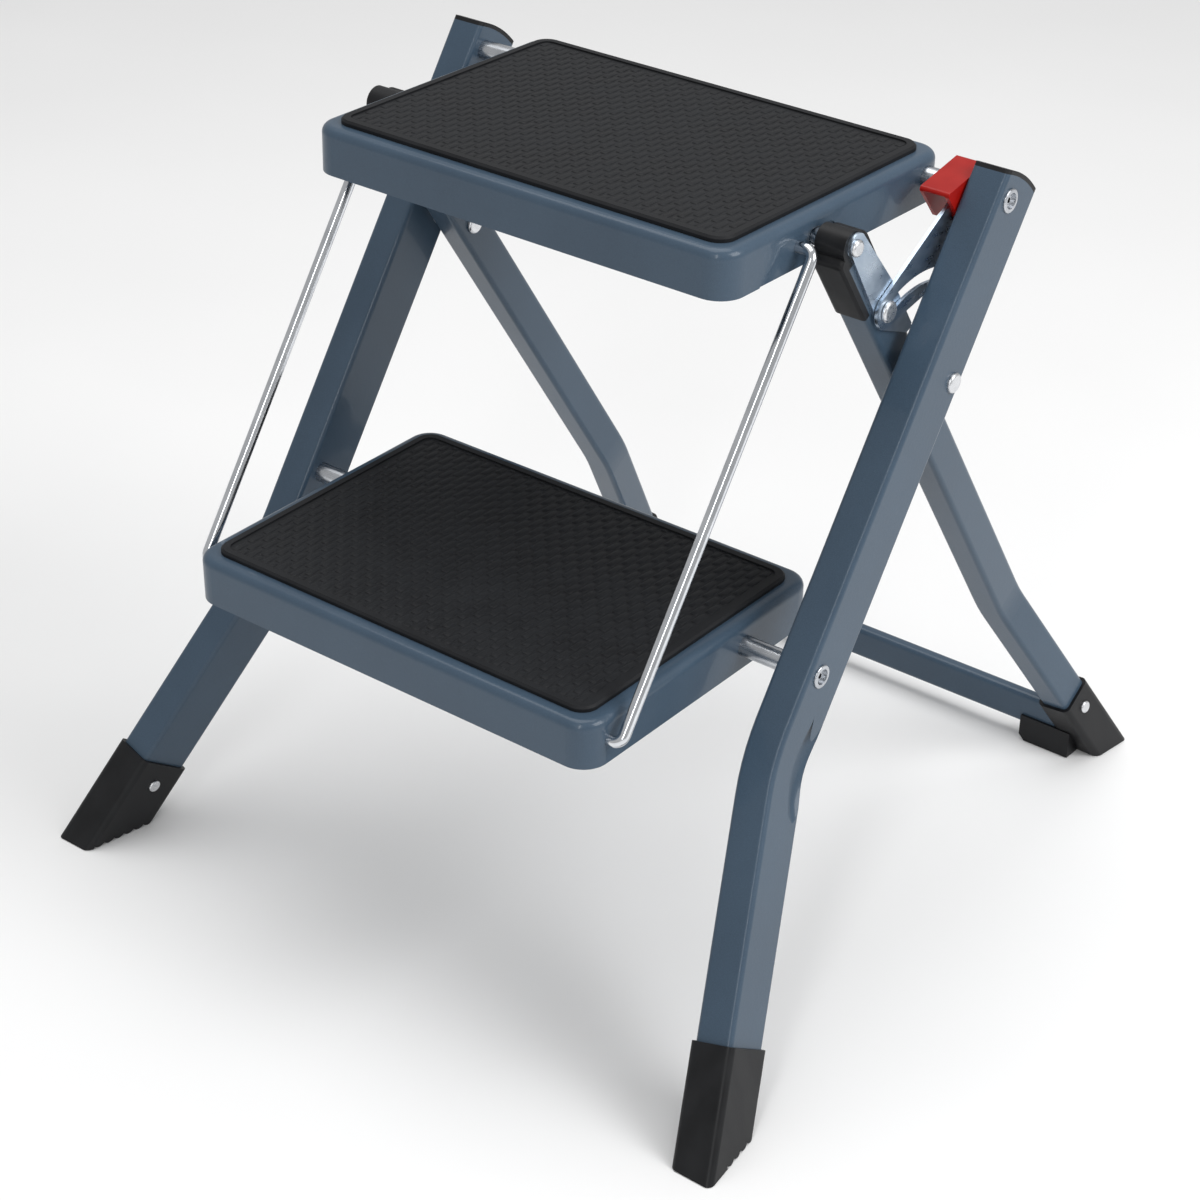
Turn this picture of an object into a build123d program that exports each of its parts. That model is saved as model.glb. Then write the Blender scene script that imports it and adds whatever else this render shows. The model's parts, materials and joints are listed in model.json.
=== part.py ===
"""Folding step stool with two steps: a scissor frame of bent steel tube, two pressed steel trays
with rubber mats, two link rods that keep the trays parallel, and a slotted lock arm on one side.

Millimetres. +X is the user's right, +Y points away from the user, +Z is up. The origin is on the
floor, midway between the left and right feet and between the front and rear feet.
"""

import os
from math import cos, radians, sin

from build123d import *

os.makedirs("parts", exist_ok=True)

# ---------------------------------------------------------------- driving dimensions
# side view: two shafts on the front legs, one scissor pivot, two leg angles
upper_shaft_y = 45.9
upper_shaft_z = 438.7
shaft_spacing = 268.6        # upper shaft to lower shaft, along the front leg
pivot_below_shaft = 98.0     # upper shaft to scissor pivot, along the front leg
front_angle = 56.2           # front legs against the floor
rear_angle = 55.1            # rear legs against the floor
shaft_offset = 6.6           # the shafts sit this far in front of the front leg's centre line
pivot_offset = 9.8           # the scissor pivot sits this far behind it
support_reach = 108.2        # scissor pivot to support rod, along the rear leg
lock_pin_reach = 54.0        # scissor pivot to lock pin, along the rear leg

# front leg tube
leg_width = 22.0
leg_depth = 37.0
leg_corner = 3.0
leg_wall = 1.2
leg_half_span = 192.0        # outer face of the upper part of a front leg, from the middle
leg_top_above_shaft = 13.5
front_bend_z = 168.0
front_splay = 14.4           # degrees outwards below the bend
bend_radius = 160.0

# rear leg tube
rear_width = 19.5
rear_depth = 23.2
rear_corner = 3.0
leg_gap = 7.0                # between the inner face of a front leg and the outer face of a rear leg
rear_bend_z = 138.0
rear_splay = 10.2
rear_bend_radius = 110.0

# shafts, rods and rivets
shaft_diameter = 12.0
shaft_wall = 1.5
shaft_flare = 1.4            # how much wider than the tube its flared end is, on the diameter
shaft_flare_length = 1.2
shaft_recess_depth = 1.8     # from the flared rim to the swaged end disc
shaft_disc_thickness = 1.4
shaft_eye = 3.0              # hole left in the middle of the end disc
support_rod_diameter = 10.0
rod_diameter = 6.5
rod_bend = 5.4               # centre-line radius of the rod's bends
rod_stand_off = 9.5          # rod centre line, out from the upper tray's flange
pivot_pin_diameter = 8.0
pivot_head_diameter = 11.5
pivot_head_height = 2.2
small_rivet_diameter = 8.0
small_rivet_height = 1.6
running_clearance = 0.06     # radial, for every shaft or pin that turns in a hole
slide_gap = 0.3              # between flat faces that pass each other

# trays and mats
upper_tray_width = 281.0
upper_tray_depth = 198.8
upper_tray_front = 180.8     # front edge, in front of the upper shaft
upper_tray_rise = 11.7       # top face, above the upper shaft
lower_tray_width = 285.0
lower_tray_depth = 200.0
lower_tray_front = 135.5
lower_tray_rise = 14.5
lower_tray_tilt = 1.5        # degrees, rear edge higher
upper_tray_height = 26.6
lower_tray_height = 28.0
tray_wall = 1.4
tray_corner = 15.0
tray_edge = 5.0
mat_inset = 9.0
mat_thickness = 3.2
mat_rim = 5.0
mat_recess = 0.9             # the field inside the raised rim

# link rods: pin positions on the trays, from each shaft
link_reach = 118.0
link_drop = 3.0

# lock
fold_angle = 47.0            # turn of the rear legs that the arm's slot has room for
lever_ratio = 0.06           # lock lever turn for each degree of fold
bracket_thickness = 2.0
arm_thickness = 2.0
arm_end_radius = 9.6
arm_shaft_radius = 7.5
lock_pin_diameter = 6.4
lock_head_diameter = 12.0
lock_head_height = 2.0
slot_clearance = 0.5         # on each side of the lock pin
handle_wall = 2.0

# feet, caps and crossbar
foot_wall = 2.0
front_foot_length = 57.0     # along the leg
rear_foot_length = 62.0
foot_pad = 4.0               # plastic between a leg's lower end and the floor
tread_pitch = 7.2
tread_radius = 4.0
tread_count = 6
tread_front = 5.0            # flat strip in front of the first rib
crossbar_height = 22.0
crossbar_depth = 10.0
crossbar_z = 22.0            # centre height
cap_wall = 1.5
cap_hub_radius = 8.7
hub_stand_off = 4.5          # between the upper tray's flange and a cap's round top
cap_length = 48.0            # along the rear leg, below the support rod
plug_thickness = 2.4
top_arch = 3.0               # rise of a front leg's arched top over its depth

# ---------------------------------------------------------------- derived places, in the YZ plane


def along(start, direction, distance):
    return start + direction * distance


def side(y, z):
    return Vector(0, y, z)


front_up = side(cos(radians(front_angle)), sin(radians(front_angle)))
front_back = side(sin(radians(front_angle)), -cos(radians(front_angle)))
rear_up = side(-cos(radians(rear_angle)), sin(radians(rear_angle)))
rear_back = side(sin(radians(rear_angle)), cos(radians(rear_angle)))

upper_shaft_at = side(upper_shaft_y, upper_shaft_z)
lower_shaft_at = along(upper_shaft_at, front_up, -shaft_spacing)
pivot_at = upper_shaft_at - front_up * pivot_below_shaft + front_back * (shaft_offset + pivot_offset)
support_at = along(pivot_at, rear_up, support_reach)
lock_pin_at = along(pivot_at, rear_up, lock_pin_reach)
upper_link_at = upper_shaft_at + side(-link_reach, -link_drop)
lower_link_at = lower_shaft_at + side(-link_reach, -link_drop)

front_axis_top = upper_shaft_at + front_back * shaft_offset + front_up * leg_top_above_shaft
front_x = leg_half_span - leg_width / 2
rear_outer_x = leg_half_span - leg_width - leg_gap
rear_x = rear_outer_x - rear_width / 2
rear_inner_x = rear_outer_x - rear_width
upper_tray_top = upper_shaft_z + upper_tray_rise


def splayed(down, degrees_out):
    """Direction of a leg below its bend: its side view stays straight and it leans to +X."""
    return down * cos(radians(degrees_out)) + Vector(sin(radians(degrees_out)), 0, 0)


front_low_down = splayed(-front_up, front_splay)
rear_low_down = splayed(-rear_up, rear_splay)
front_bend_at = Vector(front_x, 0, 0) + front_axis_top - front_up * (
    (front_axis_top.Z - front_bend_z) / front_up.Z
)
rear_bend_at = Vector(rear_x, 0, 0) + pivot_at - rear_up * ((pivot_at.Z - rear_bend_z) / rear_up.Z)


def floor_point(bend, direction, height):
    """Where a lower leg's centre line is at a height above the floor."""
    return bend + direction * ((bend.Z - height) / -direction.Z)


def leg_plane(point, down, back):
    """Section plane of a tube: local X is across the tube, local Y runs to its rear face."""
    return Plane(origin=point, x_dir=back.cross(down), z_dir=down)


# ---------------------------------------------------------------- shared shapes


def bent_tube(top, bend, low_end, down, back, width, depth, corner, wall, radius):
    """Outer and inner solids of a tube with one bend, from its top to its lower end."""
    solids = []
    for inset in (0, wall):
        with BuildPart() as tube:
            with BuildLine():
                FilletPolyline(top, bend, low_end, radius=radius)
            with BuildSketch(leg_plane(top, down, back)):
                RectangleRounded(width - 2 * inset, depth - 2 * inset, corner - inset)
            sweep()
            split(bisect_by=Plane.XY.offset(foot_pad), keep=Keep.TOP)
        solids.append(tube.part)
    return solids


def spindle(centre, direction, length, radius):
    """A pointed ellipsoid-like body: an arc turned about its own chord."""
    plane = Plane(origin=centre - direction * (length / 2), x_dir=direction, z_dir=(1, 0, 0))
    with BuildPart() as body:
        with BuildSketch(plane):
            with BuildLine():
                ThreePointArc((0, 0), (length / 2, radius), (length, 0))
                Line((length, 0), (0, 0))
            make_face()
        revolve(axis=Axis(centre, direction))
    return body.part


def x_cylinder(radius, x_low, x_high, at):
    """A cylinder along X between two X positions, at a place in the side view."""
    with BuildPart() as body:
        with BuildSketch(Plane(origin=(x_low, at.Y, at.Z), x_dir=(0, 1, 0), z_dir=(1, 0, 0))):
            Circle(radius)
        extrude(amount=x_high - x_low)
    return body.part


def side_plane(x, at=Vector(0, 0, 0)):
    """Plane facing +X whose local axes are the stool's +Y and +Z."""
    return Plane(origin=(x, at.Y, at.Z), x_dir=(0, 1, 0), z_dir=(1, 0, 0))


def domed_head(diameter, height, x, at, outwards=1):
    """A domed rivet head on a face at X, standing out towards +X or -X."""
    with BuildPart() as body:
        with BuildSketch(Plane(origin=(x, at.Y, at.Z), x_dir=(0, 1, 0), z_dir=(outwards, 0, 0))):
            Circle(diameter / 2)
        extrude(amount=height)
        fillet(body.faces().sort_by(Axis.X)[-1 if outwards > 0 else 0].edges(), height * 0.75)
    return body.part


def save(part, name):
    """Label a finished piece and write it."""
    part.label = name
    export_step(part, f"parts/{name}.step")


def save_pair(part, name):
    """Write a right-hand piece and its left-hand mirror image."""
    save(part, f"{name}_right")
    save(mirror(part, about=Plane.YZ), f"{name}_left")


def both_sides(part):
    """The same piece on both sides of the stool, in one node of separate solids."""
    return Compound(children=[*part.solids(), *mirror(part, about=Plane.YZ).solids()])


# ---------------------------------------------------------------- front legs

shaft_hole = shaft_diameter / 2 + 0.01
pivot_hole = pivot_pin_diameter / 2 + 0.01

front_floor_at = floor_point(front_bend_at, front_low_down, 0)
front_outer, front_inner = bent_tube(
    Vector(front_x, 0, 0) + along(front_axis_top, front_up, 1), front_bend_at,
    along(front_floor_at, front_low_down, 25),
    -front_up, front_back, leg_width, leg_depth, leg_corner, leg_wall, bend_radius,
)


def above_arch(rise):
    """Everything above an arch across the front leg's top, a distance above the leg's nominal end."""
    plane = Plane(origin=front_axis_top + front_up * rise, x_dir=front_back, z_dir=(1, 0, 0))
    reach = leg_depth / 2 + 1
    with BuildPart() as block:
        with BuildSketch(plane):
            with BuildLine():
                ThreePointArc((-reach, -top_arch), (0, 0), (reach, -top_arch))
                Polyline((reach, -top_arch), (reach, 20), (-reach, 20), (-reach, -top_arch))
            make_face()
        extrude(amount=leg_half_span + leg_width)
    return block.part


dimple_length = 66.0
dimple_radius = 12.0
dimple_depth = 3.2
dimple_at = front_bend_at + Vector(leg_width / 2 + dimple_radius - dimple_depth, 0, 0)
dimple_at = dimple_at + front_back * (leg_depth / 2 - dimple_radius + 4.0)
dimple_direction = (front_up * 2 - Vector(sin(radians(front_splay)), 0, 0)).normalized()

with BuildPart() as front_leg:
    add(front_outer)
    add(spindle(dimple_at, dimple_direction, dimple_length, dimple_radius), mode=Mode.SUBTRACT)
    with BuildPart(mode=Mode.SUBTRACT):
        add(front_inner)
        add(
            spindle(dimple_at, dimple_direction, dimple_length + 2 * leg_wall, dimple_radius + leg_wall),
            mode=Mode.SUBTRACT,
        )
    add(above_arch(0), mode=Mode.SUBTRACT)
    for place, radius in ((upper_shaft_at, shaft_hole), (lower_shaft_at, shaft_hole), (pivot_at, pivot_hole)):
        add(x_cylinder(radius, front_x - leg_width, front_x + leg_width, place), mode=Mode.SUBTRACT)
save_pair(front_leg.part, "front_leg")

plug_skirt = leg_top_above_shaft - shaft_diameter / 2 - 1.5
with BuildPart() as front_leg_plug:
    plug_plane = leg_plane(Vector(front_x, 0, 0) + front_axis_top, front_up, front_back)
    with BuildSketch(plug_plane.offset(-top_arch - 2)):
        RectangleRounded(leg_width, leg_depth, leg_corner)
    extrude(amount=top_arch + 2 + plug_thickness + 1)
    add(above_arch(plug_thickness), mode=Mode.SUBTRACT)
    with BuildPart(mode=Mode.SUBTRACT):
        with BuildSketch(plug_plane.offset(-top_arch - 4)):
            RectangleRounded(leg_width + 2, leg_depth + 2, leg_corner)
        extrude(amount=top_arch + 8)
        add(above_arch(0), mode=Mode.SUBTRACT)
    with BuildSketch(plug_plane.offset(-plug_skirt)):
        RectangleRounded(leg_width - 2 * leg_wall - 0.2, leg_depth - 2 * leg_wall - 0.2, leg_corner - leg_wall)
    extrude(amount=plug_skirt - top_arch + 1.5)
save_pair(front_leg_plug.part, "front_leg_plug")

# ---------------------------------------------------------------- front feet


def foot_sleeve(floor_at, down, back, width, depth, corner, length):
    """A sleeve round a leg's lower end, solid inside and cut flat by the floor."""
    with BuildPart() as sleeve:
        with BuildSketch(leg_plane(along(floor_at, down, -length), down, back)):
            RectangleRounded(width + 2 * foot_wall, depth + 2 * foot_wall, corner + foot_wall / 2)
        extrude(amount=2 * length)
        split(bisect_by=Plane.XY, keep=Keep.TOP)
    return sleeve.part


def leg_core(floor_at, down, back, width, depth, corner, length):
    """The solid outline of a leg's lower end, to hollow a foot for it."""
    with BuildPart() as core:
        with BuildSketch(leg_plane(along(floor_at, down, -length), down, back)):
            RectangleRounded(width, depth, corner)
        extrude(amount=2 * length)
        split(bisect_by=Plane.XY.offset(foot_pad), keep=Keep.TOP)
    return core.part


front_section = (front_floor_at, front_low_down, front_back, leg_width, leg_depth, leg_corner)
front_toe_y = front_floor_at.Y - (leg_depth / 2 + foot_wall) / sin(radians(front_angle))
with BuildPart() as front_foot:
    add(foot_sleeve(*front_section, front_foot_length))
    add(leg_core(*front_section, 2 * front_foot_length), mode=Mode.SUBTRACT)
    # round ribs across the sole, behind a flat strip at the toe
    tread_length = tread_pitch * tread_count + 20
    with BuildSketch(side_plane(front_x, side(front_toe_y + tread_front, 0))):
        with Locations((tread_length / 2, tread_radius / 2)):
            Rectangle(tread_length, tread_radius)
        with Locations(*[((rib + 0.5) * tread_pitch, tread_radius) for rib in range(tread_count + 2)]):
            Circle(tread_radius, mode=Mode.SUBTRACT)
    extrude(amount=3 * leg_width, mode=Mode.SUBTRACT)
save_pair(front_foot.part, "front_foot")

front_rivet_at = floor_point(front_bend_at, front_low_down, 34.0)
front_rivet_plane = Plane(
    origin=front_rivet_at + front_back.cross(front_low_down) * (leg_width / 2 + foot_wall),
    z_dir=front_back.cross(front_low_down),
)
with BuildPart() as front_foot_rivet:
    with BuildSketch(front_rivet_plane):
        Circle(small_rivet_diameter / 2)
    extrude(amount=small_rivet_height)
    fillet(front_foot_rivet.faces().sort_by(Axis(front_rivet_at, front_rivet_plane.z_dir))[-1].edges(), 1.1)
save(both_sides(front_foot_rivet.part), "front_foot_rivets")

# ---------------------------------------------------------------- shafts and scissor pivots


def flared_shaft(at, name):
    """A steel tube right through both front legs, with its ends flared over the outer faces."""
    face = leg_half_span
    with BuildPart() as shaft:
        add(x_cylinder(shaft_diameter / 2, -face, face, at))
        for end in (-1, 1):
            flare_face = end * (face + shaft_flare_length)
            add(x_cylinder((shaft_diameter + shaft_flare) / 2, min(end * face, flare_face),
                           max(end * face, flare_face), at))
            fillet(shaft.faces().sort_by(Axis.X)[-1 if end > 0 else 0].edges(), shaft_flare_length * 0.6)
        reach = face + shaft_flare_length
        bore = shaft_diameter / 2 - shaft_wall
        disc_at = reach - shaft_recess_depth
        hollow = disc_at - shaft_disc_thickness
        add(x_cylinder(bore, -hollow, hollow, at), mode=Mode.SUBTRACT)
        add(x_cylinder(bore, disc_at, reach + 1, at), mode=Mode.SUBTRACT)
        add(x_cylinder(bore, -reach - 1, -disc_at, at), mode=Mode.SUBTRACT)
        add(x_cylinder(shaft_eye / 2, -reach, reach, at), mode=Mode.SUBTRACT)
    save(shaft.part, name)


flared_shaft(upper_shaft_at, "upper_shaft")
flared_shaft(lower_shaft_at, "lower_shaft")

leg_inner_x = leg_half_span - leg_width
with BuildPart() as scissor_rivet:
    add(x_cylinder(pivot_pin_diameter / 2, rear_inner_x - slide_gap, leg_half_span, pivot_at))
    add(domed_head(pivot_head_diameter, pivot_head_height, leg_half_span, pivot_at))
    add(domed_head(pivot_head_diameter, pivot_head_height, rear_inner_x - slide_gap, pivot_at, -1))
save(both_sides(scissor_rivet.part), "scissor_rivets")

with BuildPart() as scissor_spacer:
    add(x_cylinder(pivot_head_diameter / 2 + 1, rear_outer_x + slide_gap, leg_inner_x, pivot_at))
    add(x_cylinder(pivot_hole, rear_outer_x, leg_half_span, pivot_at), mode=Mode.SUBTRACT)
save(both_sides(scissor_spacer.part), "scissor_spacers")

# ---------------------------------------------------------------- rear legs and crossbar

support_hole = support_rod_diameter / 2 + 0.01
rear_top_at = Vector(rear_x, 0, 0) + along(support_at, rear_up, -cap_hub_radius)
rear_floor_at = floor_point(rear_bend_at, rear_low_down, 0)
rear_outer, rear_inner = bent_tube(
    rear_top_at, rear_bend_at, along(rear_floor_at, rear_low_down, 25),
    -rear_up, rear_back, rear_width, rear_depth, rear_corner, leg_wall, rear_bend_radius,
)
with BuildPart() as rear_leg:
    add(rear_outer)
    add(rear_inner, mode=Mode.SUBTRACT)
    running_hole = pivot_pin_diameter / 2 + running_clearance
    add(x_cylinder(running_hole, rear_inner_x - 1, rear_outer_x + 1, pivot_at), mode=Mode.SUBTRACT)
    add(
        x_cylinder(lock_pin_diameter / 2 + 0.01, rear_inner_x - 1, rear_outer_x + 1, lock_pin_at),
        mode=Mode.SUBTRACT,
    )
save_pair(rear_leg.part, "rear_leg")

rear_section = (rear_floor_at, rear_low_down, rear_back, rear_width, rear_depth, rear_corner)
bar_axis_at = floor_point(rear_bend_at, rear_low_down, crossbar_z)
bar_front_y = bar_axis_at.Y - rear_depth / 2 / rear_back.Y + 1.5
bar_half_length = bar_axis_at.X - rear_width / 2 - 2.5
with BuildPart() as rear_crossbar:
    bar_plane = side_plane(-bar_half_length, side(bar_front_y + crossbar_depth / 2, crossbar_z))
    with BuildSketch(bar_plane):
        RectangleRounded(crossbar_depth, crossbar_height, crossbar_depth * 0.4)
        RectangleRounded(
            crossbar_depth - 2 * leg_wall, crossbar_height - 2 * leg_wall, crossbar_depth * 0.2,
            mode=Mode.SUBTRACT,
        )
    extrude(amount=2 * bar_half_length)
    for end in (1, -1):
        cutter = leg_core(*rear_section, 60)
        add(cutter if end > 0 else mirror(cutter, about=Plane.YZ), mode=Mode.SUBTRACT)
save(rear_crossbar.part, "rear_crossbar")

# ---------------------------------------------------------------- rear feet

foot_tongue = 24.0           # how far a rear foot reaches inboard under the crossbar
tongue_height = crossbar_z - crossbar_height / 2 + 7
with BuildPart() as rear_foot:
    add(foot_sleeve(*rear_section, rear_foot_length))
    tongue_x = bar_half_length - foot_tongue
    tongue_length = bar_axis_at.X - tongue_x
    with BuildSketch(side_plane(tongue_x, side(bar_front_y + crossbar_depth / 2, 0))):
        with BuildLine():
            Polyline(
                (-crossbar_depth / 2 - foot_wall, 0),
                (crossbar_depth / 2 + 10, 0),
                (crossbar_depth / 2 + foot_wall, tongue_height),
                (-crossbar_depth / 2 - foot_wall, tongue_height),
                close=True,
            )
        make_face()
    extrude(amount=tongue_length)
    tongue_edge = rear_foot.faces().sort_by(Axis.X)[0].edges().filter_by(Axis.Y).sort_by(Axis.Z)[0]
    chamfer(tongue_edge, 4.0)
    add(leg_core(*rear_section, 2 * rear_foot_length), mode=Mode.SUBTRACT)
    with BuildSketch(side_plane(0, side(bar_front_y + crossbar_depth / 2, crossbar_z))):
        RectangleRounded(crossbar_depth, crossbar_height, crossbar_depth * 0.4)
    extrude(amount=bar_half_length, mode=Mode.SUBTRACT)
save_pair(rear_foot.part, "rear_foot")

rear_rivet_at = floor_point(rear_bend_at, rear_low_down, 40.0)
rear_rivet_plane = Plane(
    origin=rear_rivet_at + rear_low_down.cross(rear_back) * (rear_width / 2 + foot_wall),
    z_dir=rear_low_down.cross(rear_back),
)
with BuildPart() as rear_foot_rivet:
    with BuildSketch(rear_rivet_plane):
        Circle(small_rivet_diameter / 2)
    extrude(amount=small_rivet_height)
    fillet(rear_foot_rivet.faces().sort_by(Axis(rear_rivet_at, rear_rivet_plane.z_dir))[-1].edges(), 1.1)
save(both_sides(rear_foot_rivet.part), "rear_foot_rivets")

# ---------------------------------------------------------------- rear leg caps and support rod

hub_inner_x = upper_tray_width / 2 + hub_stand_off
with BuildPart() as rear_leg_cap:
    cap_plane = leg_plane(Vector(rear_x, 0, 0) + support_at, -rear_up, rear_back)
    with BuildSketch(cap_plane):
        RectangleRounded(rear_width + 2 * cap_wall, rear_depth + 2 * cap_wall, rear_corner + 1)
    extrude(amount=cap_length)
    top_face_edges = rear_leg_cap.faces().sort_by(Axis(support_at, rear_up))[-1].edges()
    fillet(top_face_edges.filter_by(Axis.X), 4.5)
    add(x_cylinder(cap_hub_radius, hub_inner_x, rear_outer_x, support_at))
    with BuildSketch(side_plane(rear_outer_x)):
        Rectangle(4 * upper_shaft_z, 4 * upper_shaft_z)
    extrude(amount=2 * cap_wall, mode=Mode.SUBTRACT)
    leg_end_plane = leg_plane(rear_top_at, -rear_up, rear_back)
    with BuildSketch(leg_end_plane):
        RectangleRounded(rear_width, rear_depth, rear_corner)
    extrude(amount=2 * cap_length, mode=Mode.SUBTRACT)
    add(x_cylinder(support_hole, 0, rear_outer_x + 1, support_at), mode=Mode.SUBTRACT)
save_pair(rear_leg_cap.part, "rear_leg_cap")

with BuildPart() as support_rod:
    add(x_cylinder(support_rod_diameter / 2, -rear_outer_x, rear_outer_x, support_at))
save(support_rod.part, "support_rod")

# ---------------------------------------------------------------- lock bracket and lock pin

bracket_end_radius = 6.6
bracket_end_shift = 1.8      # the bracket's upper end is centred this far behind the rivet


def rear_frame_point(reach, behind):
    """A place in the side view given along the rear leg and behind its centre line."""
    at = pivot_at + rear_up * reach + rear_back * behind
    return (at.Y, at.Z)


with BuildPart() as lock_bracket:
    with BuildSketch(side_plane(rear_outer_x)):
        with BuildLine():
            Polyline(
                rear_frame_point(support_reach, bracket_end_shift - bracket_end_radius),
                rear_frame_point(46.0, -7.5),
                rear_frame_point(23.0, 8.0),
                rear_frame_point(22.0, 13.0),
                rear_frame_point(31.0, 13.5),
                rear_frame_point(59.0, 13.8),
                rear_frame_point(support_reach, bracket_end_shift + bracket_end_radius),
                close=True,
            )
        make_face()
        with Locations(rear_frame_point(support_reach, bracket_end_shift)):
            Circle(bracket_end_radius)
        with Locations((lock_pin_at.Y, lock_pin_at.Z)):
            Circle(lock_pin_diameter / 2 + 0.01, mode=Mode.SUBTRACT)
    extrude(amount=bracket_thickness)
    # a short return lip along the rear face of the leg
    with BuildSketch(side_plane(rear_outer_x + bracket_thickness)):
        with BuildLine():
            Polyline(
                rear_frame_point(24.0, rear_depth / 2 + 0.2),
                rear_frame_point(50.0, rear_depth / 2 + 0.2),
                rear_frame_point(50.0, rear_depth / 2 + 0.2 + bracket_thickness),
                rear_frame_point(24.0, rear_depth / 2 + 0.2 + bracket_thickness),
                close=True,
            )
        make_face()
    extrude(amount=-(bracket_thickness + 9.0))
save(lock_bracket.part, "lock_bracket")

with BuildPart() as bracket_rivet:
    add(domed_head(9.5, 2.2, rear_outer_x + bracket_thickness, support_at))
save(bracket_rivet.part, "bracket_rivet")

arm_x = rear_outer_x + bracket_thickness + slide_gap
head_x = arm_x + arm_thickness + slide_gap
with BuildPart() as lock_pin:
    add(x_cylinder(lock_pin_diameter / 2, rear_inner_x, head_x, lock_pin_at))
    add(domed_head(lock_head_diameter, lock_head_height, head_x, lock_pin_at))
save(lock_pin.part, "lock_pin")

# ---------------------------------------------------------------- lock arm and handle


def pin_seen_by_arm(fold):
    """Place of the lock pin in the arm's own frame when the rear legs have folded by an angle."""
    turned = (lock_pin_at - pivot_at).rotate(Axis.X, -fold) + pivot_at
    return upper_shaft_at + (turned - upper_shaft_at).rotate(Axis.X, lever_ratio * fold)


slot_points = [pin_seen_by_arm(fold_angle * step / 6) for step in range(7)]
slot_end = slot_points[-1]
slot_middle = slot_points[3]
slot_width = lock_pin_diameter + 2 * slot_clearance
slot_arc = Edge.make_three_point_arc(*[(point.Y, point.Z) for point in slot_points[::3]])
with BuildPart() as lock_arm:
    with BuildSketch(side_plane(arm_x)):
        with BuildSketch(mode=Mode.PRIVATE) as discs:
            with Locations((upper_shaft_at.Y, upper_shaft_at.Z)):
                Circle(arm_shaft_radius)
            with Locations((lock_pin_at.Y, lock_pin_at.Z)):
                Circle(arm_end_radius)
            with Locations((slot_end.Y, slot_end.Z)):
                Circle(slot_width / 2 + 3.6)
            with Locations((slot_middle.Y, slot_middle.Z)):
                Circle(slot_width / 2 + 3.6)
        make_hull(discs.edges())
        SlotArc(slot_arc, slot_width, mode=Mode.SUBTRACT)
        with Locations((upper_shaft_at.Y, upper_shaft_at.Z)):
            Circle(shaft_diameter / 2 + running_clearance, mode=Mode.SUBTRACT)
    extrude(amount=arm_thickness)
save(lock_arm.part, "lock_arm")

handle_inner_x = 151.5
handle_outer_x = leg_inner_x - slide_gap
handle_top_front = (-26.0, 4.5)
handle_top_rear = (12.5, 12.5)
handle_outline = (handle_top_front, (-8.5, -16.5), (10.0, -9.5), handle_top_rear)
with BuildPart() as lock_handle:
    with BuildSketch(side_plane(handle_inner_x, upper_shaft_at)):
        with BuildLine():
            Polyline(*handle_outline, close=True)
        make_face()
    extrude(amount=handle_outer_x - handle_inner_x)
    fillet(lock_handle.edges().filter_by(Axis.X), 2.0)
    # the space between the two cheeks, open below, in front and behind
    with BuildSketch(side_plane(handle_inner_x + handle_wall, upper_shaft_at)):
        with BuildLine():
            slope = (handle_top_rear[1] - handle_top_front[1]) / (handle_top_rear[0] - handle_top_front[0])
            under = handle_top_front[1] - 1.02 * handle_wall
            Polyline((-40, under - 14 * slope), (20, under + 46 * slope), (20, -30), (-40, -30), close=True)
        make_face()
    extrude(amount=arm_x + arm_thickness - handle_inner_x - handle_wall, mode=Mode.SUBTRACT)
    add(
        x_cylinder(shaft_diameter / 2 + running_clearance, handle_inner_x - 1, handle_outer_x + 1, upper_shaft_at),
        mode=Mode.SUBTRACT,
    )
save(lock_handle.part, "lock_handle")

# ---------------------------------------------------------------- trays and mats


def tray_shell(width, depth, height, front_y, top_z):
    """A pressed tray, open underneath, with rounded corners and a rounded top edge."""
    with BuildPart() as tray:
        with BuildSketch(Plane.XY.offset(top_z - height)):
            with Locations((0, front_y + depth / 2)):
                RectangleRounded(width, depth, tray_corner)
        extrude(amount=height)
        fillet(tray.faces().sort_by(Axis.Z)[-1].edges(), tray_edge)
        offset(amount=-tray_wall, openings=tray.faces().sort_by(Axis.Z)[0])
    return tray.part


def tray_mat(width, depth, front_y, top_z):
    """A rubber mat with a raised bevelled rim round a shallow field."""
    with BuildPart() as mat:
        with BuildSketch(Plane.XY.offset(top_z)):
            with Locations((0, front_y + depth / 2)):
                RectangleRounded(width - 2 * mat_inset, depth - 2 * mat_inset, tray_corner - 5)
        extrude(amount=mat_thickness)
        chamfer(mat.faces().sort_by(Axis.Z)[-1].edges(), 1.2)
        with BuildSketch(Plane.XY.offset(top_z + mat_thickness - mat_recess)):
            with Locations((0, front_y + depth / 2)):
                RectangleRounded(
                    width - 2 * (mat_inset + mat_rim), depth - 2 * (mat_inset + mat_rim), tray_corner - 9
                )
        extrude(amount=mat_recess, mode=Mode.SUBTRACT)
    return mat.part


shaft_run = shaft_diameter / 2 + running_clearance
rod_run = rod_diameter / 2 + running_clearance

# the upper tray rests on the support rod in an open notch on each side, cut along the way the rod leaves
link_ratio = 2.2             # tray turn for each degree of fold
notch_width = support_rod_diameter + 0.6


def support_seen_by_tray(fold):
    """Place of the support rod in the upper tray's frame when the rear legs have folded by an angle."""
    turned = (support_at - pivot_at).rotate(Axis.X, -fold) + pivot_at
    return upper_shaft_at + (turned - upper_shaft_at).rotate(Axis.X, link_ratio * fold)


notch_exit = support_seen_by_tray(4.0)
notch_way = (notch_exit - support_at).normalized()

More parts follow.
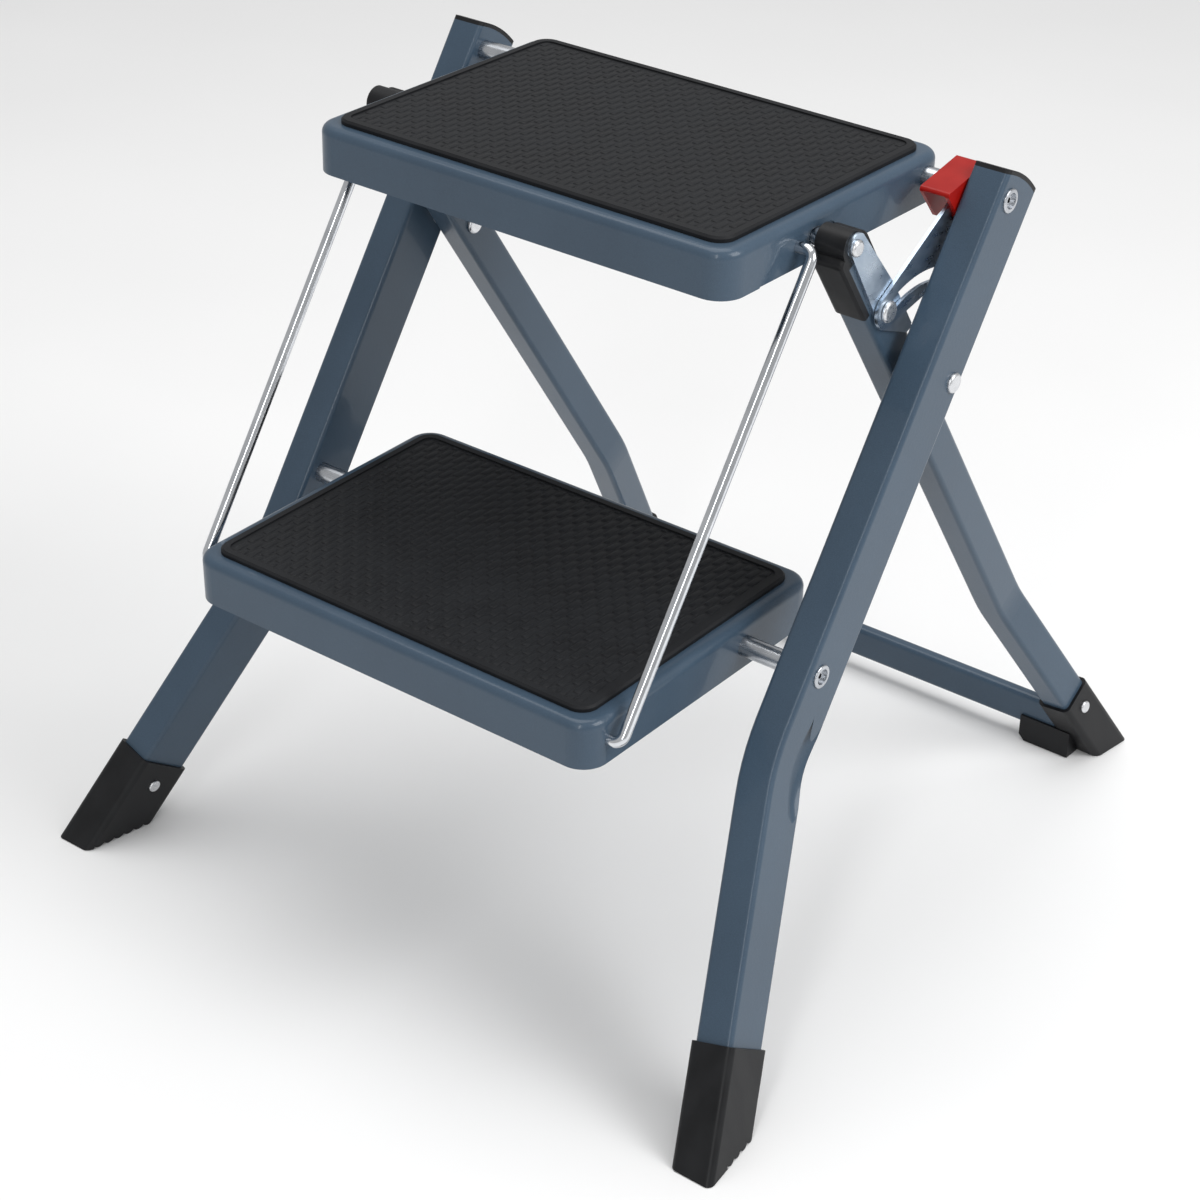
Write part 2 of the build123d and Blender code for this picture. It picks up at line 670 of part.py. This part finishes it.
upper_front_y = upper_shaft_y - upper_tray_front
upper_half = upper_tray_width / 2
emboss_depth = 0.9
emboss_outline = (
    (support_at.Y - 50, upper_tray_top - upper_tray_height - 1),
    (support_at.Y - 29, support_at.Z + 5),
    (support_at.Y + 14, support_at.Z + 5),
    (support_at.Y + 30, upper_tray_top - upper_tray_height - 1),
)


def emboss_block(x_from, amount):
    """The embossed arch's outline, extruded from a plane at X."""
    with BuildPart() as block:
        with BuildSketch(side_plane(x_from)):
            with BuildLine():
                FilletPolyline(*emboss_outline, radius=9)
                Line(emboss_outline[-1], emboss_outline[0])
            make_face()
        extrude(amount=amount)
    return block.part


with BuildPart() as upper_tray:
    add(tray_shell(upper_tray_width, upper_tray_depth, upper_tray_height, upper_front_y, upper_tray_top))
    for end in (1, -1):
        add(emboss_block(end * (upper_half - tray_wall), -end * emboss_depth))
        add(emboss_block(end * (upper_half + 1), -end * (emboss_depth + 1)), mode=Mode.SUBTRACT)
    with BuildSketch(Plane.XY.offset(upper_tray_top - upper_tray_height - 5)):
        Rectangle(3 * upper_tray_width, 3 * upper_tray_depth)
    extrude(amount=5, mode=Mode.SUBTRACT)
    for place, radius in ((upper_shaft_at, shaft_run), (upper_link_at, rod_run)):
        add(x_cylinder(radius, -upper_half - 1, upper_half + 1, place), mode=Mode.SUBTRACT)
    with BuildSketch(side_plane(-upper_half - 1)):
        with Locations((support_at.Y, support_at.Z)):
            Circle(notch_width / 2)
        with BuildLine():
            across = notch_way.cross(Vector(1, 0, 0)) * (notch_width / 2)
            far = support_at + notch_way * 40
            corners = (support_at + across, far + across, far - across, support_at - across)
            Polyline(*[(corner.Y, corner.Z) for corner in corners], close=True)
        make_face()
    extrude(amount=upper_tray_width + 2, mode=Mode.SUBTRACT)
save(upper_tray.part, "upper_tray")

save(tray_mat(upper_tray_width, upper_tray_depth, upper_front_y, upper_tray_top), "upper_mat")

lower_front_y = lower_shaft_at.Y - lower_tray_front
lower_tray_top = lower_shaft_at.Z + lower_tray_rise
lower_half = lower_tray_width / 2
tilt_axis = Axis((0, lower_shaft_at.Y, lower_shaft_at.Z), (1, 0, 0))
with BuildPart() as lower_tray:
    add(
        tray_shell(
            lower_tray_width, lower_tray_depth, lower_tray_height, lower_front_y, lower_tray_top
        ).rotate(tilt_axis, lower_tray_tilt)
    )
    for place, radius in ((lower_shaft_at, shaft_run), (lower_link_at, rod_run)):
        add(x_cylinder(radius, -lower_half - 1, lower_half + 1, place), mode=Mode.SUBTRACT)
save(lower_tray.part, "lower_tray")

lower_mat = tray_mat(lower_tray_width, lower_tray_depth, lower_front_y, lower_tray_top)
save(lower_mat.rotate(tilt_axis, lower_tray_tilt), "lower_mat")

# ---------------------------------------------------------------- link rods

rod_x = upper_half + rod_stand_off
rod_inside = 5.0             # length of each hook inside its tray
rod_points = (
    Vector(upper_half - rod_inside, 0, 0) + upper_link_at,
    Vector(rod_x, 0, 0) + upper_link_at,
    Vector(rod_x, 0, 0) + lower_link_at,
    Vector(lower_half - rod_inside, 0, 0) + lower_link_at,
)
with BuildPart() as link_rod:
    with BuildLine():
        FilletPolyline(*rod_points, radius=rod_bend)
    with BuildSketch(Plane(origin=rod_points[0], z_dir=(1, 0, 0))):
        Circle(rod_diameter / 2)
    sweep()
save_pair(link_rod.part, "link_rod")
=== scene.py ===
import json
from math import cos, radians, sin

import bpy
from mathutils import Matrix, Vector


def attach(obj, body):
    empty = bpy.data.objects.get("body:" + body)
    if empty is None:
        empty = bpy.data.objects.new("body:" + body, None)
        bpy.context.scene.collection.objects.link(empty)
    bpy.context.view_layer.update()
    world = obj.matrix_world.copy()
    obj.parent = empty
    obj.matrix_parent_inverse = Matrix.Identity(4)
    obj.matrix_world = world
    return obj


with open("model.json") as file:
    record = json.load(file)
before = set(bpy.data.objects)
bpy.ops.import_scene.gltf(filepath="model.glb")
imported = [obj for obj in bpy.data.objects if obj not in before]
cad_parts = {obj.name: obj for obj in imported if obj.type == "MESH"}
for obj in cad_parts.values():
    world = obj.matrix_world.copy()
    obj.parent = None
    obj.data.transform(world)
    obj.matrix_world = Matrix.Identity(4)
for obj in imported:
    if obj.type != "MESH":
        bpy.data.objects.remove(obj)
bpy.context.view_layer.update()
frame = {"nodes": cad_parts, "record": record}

# ---------------------------------------------------------------- camera

camera_azimuth = radians(39.127)
camera_elevation = radians(30.829)
camera_roll = radians(0.766)
camera_place = Vector((0.8855, -1.1921, 0.9937))
camera_lens = 84.91
camera_shift = (0.05, 0.043)
camera_sensor = 36.0          # mm


def make_camera():
    """The camera: at azimuth 0 it looks along +Y from the front, and it goes round to the right."""
    data = bpy.data.cameras.new("camera")
    data.lens = camera_lens
    data.sensor_width = camera_sensor
    data.shift_x, data.shift_y = camera_shift
    data.clip_start = 0.05
    data.clip_end = 50
    camera = bpy.data.objects.new("camera", data)
    bpy.context.scene.collection.objects.link(camera)
    level = cos(camera_elevation)
    back = Vector((sin(camera_azimuth) * level, -cos(camera_azimuth) * level, sin(camera_elevation)))
    right = Vector((cos(camera_azimuth), sin(camera_azimuth), 0))
    up = back.cross(right)
    turned_right = right * cos(camera_roll) + up * sin(camera_roll)
    turned_up = up * cos(camera_roll) - right * sin(camera_roll)
    rotation = Matrix((turned_right, turned_up, back)).transposed()
    camera.matrix_world = Matrix.Translation(camera_place) @ rotation.to_4x4()
    bpy.context.scene.camera = camera


# ---------------------------------------------------------------- material helpers


def new_material(name, metallic=0.0, coat=0.0, coat_roughness=0.1, specular=0.5):
    """A new material with its node tree and its main shader."""
    material = bpy.data.materials.new(name)
    material.use_nodes = True
    shader = material.node_tree.nodes["Principled BSDF"]
    shader.inputs["Metallic"].default_value = metallic
    shader.inputs["Specular IOR Level"].default_value = specular
    shader.inputs["Coat Weight"].default_value = coat
    shader.inputs["Coat Roughness"].default_value = coat_roughness
    return material, material.node_tree, shader


def noise(tree, scale, detail=3.0, roughness=0.5, stretch=(1, 1, 1)):
    """Noise in object space; scale is in repeats per metre."""
    place = tree.nodes.new("ShaderNodeTexCoord")
    mapping = tree.nodes.new("ShaderNodeMapping")
    mapping.inputs["Scale"].default_value = stretch
    texture = tree.nodes.new("ShaderNodeTexNoise")
    texture.inputs["Scale"].default_value = scale
    texture.inputs["Detail"].default_value = detail
    texture.inputs["Roughness"].default_value = roughness
    tree.links.new(place.outputs["Object"], mapping.inputs["Vector"])
    tree.links.new(mapping.outputs["Vector"], texture.inputs["Vector"])
    return texture.outputs["Fac"]


def ramp(tree, source, low, high, start=0.3, end=0.7):
    """A colour between two colours as a value goes from start to end."""
    node = tree.nodes.new("ShaderNodeValToRGB")
    node.color_ramp.elements[0].position = start
    node.color_ramp.elements[0].color = (*low, 1)
    node.color_ramp.elements[1].position = end
    node.color_ramp.elements[1].color = (*high, 1)
    tree.links.new(source, node.inputs["Fac"])
    return node.outputs["Color"]


def span(tree, source, low, high, start=0.3, end=0.7):
    """A number between two numbers as a value goes from start to end."""
    node = tree.nodes.new("ShaderNodeMapRange")
    node.inputs["From Min"].default_value = start
    node.inputs["From Max"].default_value = end
    node.inputs["To Min"].default_value = low
    node.inputs["To Max"].default_value = high
    tree.links.new(source, node.inputs["Value"])
    return node.outputs["Result"]


def bump(tree, source, strength, height, under=None):
    """A bump normal from a value; height is in metres."""
    node = tree.nodes.new("ShaderNodeBump")
    node.inputs["Strength"].default_value = strength
    node.inputs["Distance"].default_value = height
    tree.links.new(source, node.inputs["Height"])
    if under is not None:
        tree.links.new(under, node.inputs["Normal"])
    return node.outputs["Normal"]


# ---------------------------------------------------------------- materials


def powder_coat():
    """Glossy blue-grey powder coat: a fine orange peel, faint clouds and small speckles."""
    material, tree, shader = new_material("powder_coat", coat=0.25, coat_roughness=0.06, specular=0.25)
    clouds = noise(tree, 18, detail=4)
    speckle = noise(tree, 2600, detail=1)
    colour = ramp(tree, clouds, (0.041, 0.068, 0.102), (0.048, 0.079, 0.117))
    dust = ramp(tree, speckle, (0.9, 0.9, 0.9), (1.1, 1.1, 1.1), 0.35, 0.65)
    mix = tree.nodes.new("ShaderNodeMix")
    mix.data_type = "RGBA"
    mix.blend_type = "MULTIPLY"
    mix.inputs["Factor"].default_value = 1.0
    tree.links.new(colour, mix.inputs["A"])
    tree.links.new(dust, mix.inputs["B"])
    tree.links.new(mix.outputs["Result"], shader.inputs["Base Color"])
    tree.links.new(span(tree, clouds, 0.30, 0.38), shader.inputs["Roughness"])
    peel = bump(tree, noise(tree, 520, detail=2), 0.12, 0.0004)
    tree.links.new(bump(tree, speckle, 0.06, 0.0001, peel), shader.inputs["Normal"])
    return material


def black_plastic():
    """Satin black moulded plastic with a fine spark-eroded grain and faint scuffs."""
    material, tree, shader = new_material("black_plastic", specular=0.25)
    scuffs = noise(tree, 70, detail=6, stretch=(1, 1, 0.3))
    colour = ramp(tree, scuffs, (0.005, 0.0053, 0.0062), (0.010, 0.0105, 0.012))
    tree.links.new(colour, shader.inputs["Base Color"])
    tree.links.new(span(tree, scuffs, 0.38, 0.52), shader.inputs["Roughness"])
    tree.links.new(bump(tree, noise(tree, 1500, detail=2), 0.25, 0.00015), shader.inputs["Normal"])
    return material


def mat_rubber():
    """Matte black rubber with a fine grain, slightly dusty in patches."""
    material, tree, shader = new_material("mat_rubber", specular=0.2)
    dust = noise(tree, 45, detail=5)
    colour = ramp(tree, dust, (0.007, 0.0075, 0.009), (0.012, 0.013, 0.015))
    tree.links.new(colour, shader.inputs["Base Color"])
    tree.links.new(span(tree, dust, 0.50, 0.62), shader.inputs["Roughness"])
    tree.links.new(bump(tree, noise(tree, 1800, detail=3), 0.3, 0.00012), shader.inputs["Normal"])
    return material


brush_lines = 900             # repeats per metre across the brush lines
metals = {
    "shaft_steel": ((0.42, 0.44, 0.47), (0.62, 0.64, 0.67), 0.26, (0.06, 1, 1)),
    "rod_chrome": ((0.60, 0.62, 0.65), (0.74, 0.76, 0.79), 0.14, (1, 0.2, 0.2)),
    "zinc_plate": ((0.30, 0.38, 0.48), (0.55, 0.63, 0.72), 0.30, (1, 0.1, 0.25)),
    "rivet_metal": ((0.60, 0.61, 0.63), (0.76, 0.77, 0.79), 0.30, (1, 1, 1)),
}


def brushed_metal(name, dark, bright, rough, stretch):
    """Bare or plated metal with fine brush lines along the axis that is stretched least."""
    material, tree, shader = new_material(name, metallic=1.0)
    lines = noise(tree, brush_lines, detail=4, stretch=stretch)
    patches = noise(tree, 60, detail=3)
    tree.links.new(ramp(tree, patches, dark, bright), shader.inputs["Base Color"])
    tree.links.new(span(tree, lines, rough * 0.75, rough * 1.3), shader.inputs["Roughness"])
    tree.links.new(bump(tree, lines, 0.12, 0.00006), shader.inputs["Normal"])
    return material


def red_plastic():
    """Glossy red moulded plastic with a slight mould grain."""
    material, tree, shader = new_material("red_plastic", coat=0.1, specular=0.2)
    flow = noise(tree, 60, detail=3)
    colour = ramp(tree, flow, (0.29, 0.005, 0.003), (0.35, 0.009, 0.005))
    tree.links.new(colour, shader.inputs["Base Color"])
    tree.links.new(span(tree, flow, 0.28, 0.38), shader.inputs["Roughness"])
    tree.links.new(bump(tree, noise(tree, 1200, detail=2), 0.1, 0.0001), shader.inputs["Normal"])
    return material


def assign_materials():
    """Every carried-over node gets the material of its slot in the record."""
    materials = {
        "powder_coat": powder_coat(),
        "black_plastic": black_plastic(),
        "mat_rubber": mat_rubber(),
        "red_plastic": red_plastic(),
    }
    for name, (dark, bright, rough, stretch) in metals.items():
        materials[name] = brushed_metal(name, dark, bright, rough, stretch)
    for part in frame["record"]["subparts"]:
        mesh = frame["nodes"][part["node"]].data
        mesh.materials.clear()
        mesh.materials.append(materials[part["material_slot"]])
    return materials


# ---------------------------------------------------------------- mat pattern

cell_length = 0.0125          # across the tread, front to back
cell_width = 0.0056
cell_rise = 0.0008
cell_gap = 0.0005
cell_sink = 0.0002            # how far the cells' edges lie under the mat's field
shortest_cell = 0.2           # a cell cut shorter than this share of its length is left out
cell_rows = ((0.0, 0.0), (0.08, 0.75), (0.3, 1.0), (0.65, 0.72), (0.92, 0.35), (1.0, 0.0))
cell_columns = ((-0.5, 0.0), (-0.32, 0.8), (0.0, 1.0), (0.32, 0.8), (0.5, 0.0))
end_taper = 0.62              # width of a cell's two ends, as a share of its middle


def mat_field(node):
    """The mat's recessed field: centre, side direction, rear direction, normal, and its two half sizes."""
    mesh = frame["nodes"][node].data
    facing_up = [face for face in mesh.polygons if face.normal.z > 0.995]
    normal = sum((face.normal * face.area for face in facing_up), Vector()).normalized()
    levels = {}
    for face in facing_up:
        level = round(face.center.dot(normal), 4)
        levels.setdefault(level, []).append(face)
    faces = max(levels.values(), key=lambda group: sum(face.area for face in group))
    across = Vector((1, 0, 0))
    rearward = normal.cross(across).normalized()
    points = [mesh.vertices[index].co for face in faces for index in face.vertices]
    spans = []
    for direction in (across, rearward, normal):
        values = [point.dot(direction) for point in points]
        spans.append((min(values), max(values)))
    centre = sum((direction * (low + high) / 2 for direction, (low, high) in
                  zip((across, rearward, normal), spans)), Vector())
    halves = [(high - low) / 2 for low, high in spans[:2]]
    return centre, across, rearward, normal, halves


def cell_grid(length, width):
    """One raised cell as rows of (along, sideways, height): a pillow that is highest near its front end."""
    rows = []
    for step, lift in cell_rows:
        taper = end_taper if step in (0.0, 1.0) else 1.0
        row = [(step * length, sideways * width * taper, lift * share) for sideways, share in cell_columns]
        rows.append(row)
    return rows


def cell_faces(first, tall, wide):
    """The faces of one closed cell whose points start at an index: its top, then its flat underside."""
    faces = []
    for i in range(tall - 1):
        for j in range(wide - 1):
            a = first + i * wide + j
            faces.append((a, a + 1, a + wide + 1, a + wide))
    rim = [first + j for j in range(wide)]
    rim += [first + i * wide + wide - 1 for i in range(1, tall)]
    rim += [first + (tall - 1) * wide + j for j in range(wide - 2, -1, -1)]
    rim += [first + i * wide for i in range(tall - 2, 0, -1)]
    faces.append(tuple(reversed(rim)))
    return faces


def mat_pattern(node, body, material):
    """Rows of staggered raised cells over a mat's field, each cell a closed shape."""
    centre, across, rearward, normal, (half_width, half_depth) = mat_field(node)
    verts, faces = [], []
    full = cell_length - cell_gap
    grid = cell_grid(full, cell_width - cell_gap)
    columns = int(2 * half_width / cell_width)
    for column in range(columns):
        x = (column - (columns - 1) / 2) * cell_width
        start = -half_depth - (cell_length / 2 if column % 2 else 0)
        while start < half_depth:
            low, high = max(start, -half_depth), min(start + full, half_depth)
            if high - low > cell_length * shortest_cell:
                squeeze = (high - low) / full
                faces += cell_faces(len(verts), len(grid), len(grid[0]))
                for row in grid:
                    for along, sideways, lift in row:
                        at = centre + across * (x + sideways) + rearward * (low + along * squeeze)
                        verts.append(at + normal * (lift * cell_rise - cell_sink))
            start += cell_length
    mesh = bpy.data.meshes.new(f"{node}_cells")
    mesh.from_pydata(verts, [], faces)
    mesh.materials.append(material)
    for face in mesh.polygons:
        face.use_smooth = len(face.vertices) == 4
    piece = bpy.data.objects.new(f"{node}_cells", mesh)
    bpy.context.scene.collection.objects.link(piece)
    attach(piece, body)


# ---------------------------------------------------------------- floor and light


floor_reach = 6.0             # from the middle to each edge
floor_drop = 0.0005           # keeps the floor just clear of the soles


def make_floor():
    """A plain pale floor, kept out of the object."""
    mesh = bpy.data.meshes.new("floor")
    corners = [(floor_reach * x, floor_reach * y, 0) for x, y in ((-1, -1), (1, -1), (1, 1), (-1, 1))]
    mesh.from_pydata(corners, [], [(0, 1, 2, 3)])
    material, tree, shader = new_material("floor")
    patches = noise(tree, 3, detail=2)
    tree.links.new(ramp(tree, patches, (0.84, 0.84, 0.84), (0.86, 0.86, 0.86)), shader.inputs["Base Color"])
    shader.inputs["Roughness"].default_value = 0.7
    mesh.materials.append(material)
    floor = bpy.data.objects.new("floor", mesh)
    floor.location.z = -floor_drop
    bpy.context.scene.collection.objects.link(floor)


def area_light(name, place, target, size, power):
    """A rectangular light that faces its target."""
    data = bpy.data.lights.new(name, "AREA")
    data.shape = "RECTANGLE"
    data.size, data.size_y = size
    data.energy = power
    light = bpy.data.objects.new(name, data)
    light.location = place
    light.rotation_euler = (Vector(target) - Vector(place)).to_track_quat("-Z", "Y").to_euler()
    bpy.context.scene.collection.objects.link(light)


def make_lights():
    """Soft studio light: an even white surround, a key from the right, a strip in front and a top light."""
    world = bpy.data.worlds.new("studio")
    world.use_nodes = True
    background = world.node_tree.nodes["Background"]
    background.inputs["Color"].default_value = (1.0, 1.0, 1.0, 1)
    background.inputs["Strength"].default_value = 0.5
    bpy.context.scene.world = world
    middle = (0, 0, 0.25)
    area_light("key", (2.2, 0.4, 1.9), middle, (1.6, 1.6), 46)
    area_light("front_strip", (0.9, -2.2, 1.5), middle, (0.35, 1.8), 14)
    area_light("top", (-0.4, 0.2, 2.6), middle, (2.0, 2.0), 30)
    bpy.context.scene.view_settings.view_transform = "Standard"
    bpy.context.scene.view_settings.look = "None"


# ---------------------------------------------------------------- the scene

make_camera()
materials = assign_materials()
mat_pattern("upper_mat", "top_step", materials["mat_rubber"])
mat_pattern("lower_mat", "lower_step", materials["mat_rubber"])
make_floor()
make_lights()
